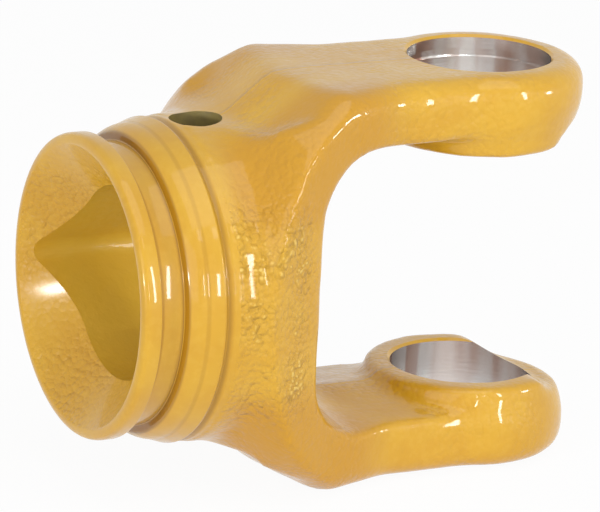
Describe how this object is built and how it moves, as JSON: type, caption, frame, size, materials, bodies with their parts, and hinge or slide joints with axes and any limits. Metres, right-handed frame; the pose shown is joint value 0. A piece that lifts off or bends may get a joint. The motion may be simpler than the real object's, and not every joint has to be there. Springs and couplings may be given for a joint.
{
  "type": "forged yoke",
  "caption": "Forged driveshaft yoke: a fork with bored ears grows from a round hub with turned rings, a flared mouth, a lemon-shaped tube socket and a cross hole for a roll pin.",
  "frame": {"origin": "centre of the mouth, in the plane of its lip", "axes": "+X along the shaft from the mouth to the fork, +Z along the cross bores and upwards in the picture, +Y away from the viewer, square to the parting plane of the forging"},
  "size_m": [0.0821, 0.0502, 0.0618],
  "materials": {
    "paint": "glossy yellow paint over a forged steel skin, with bare machined cross bores"
  },
  "bodies": {
    "root": {"yoke": "paint"}
  },
  "joints": []
}
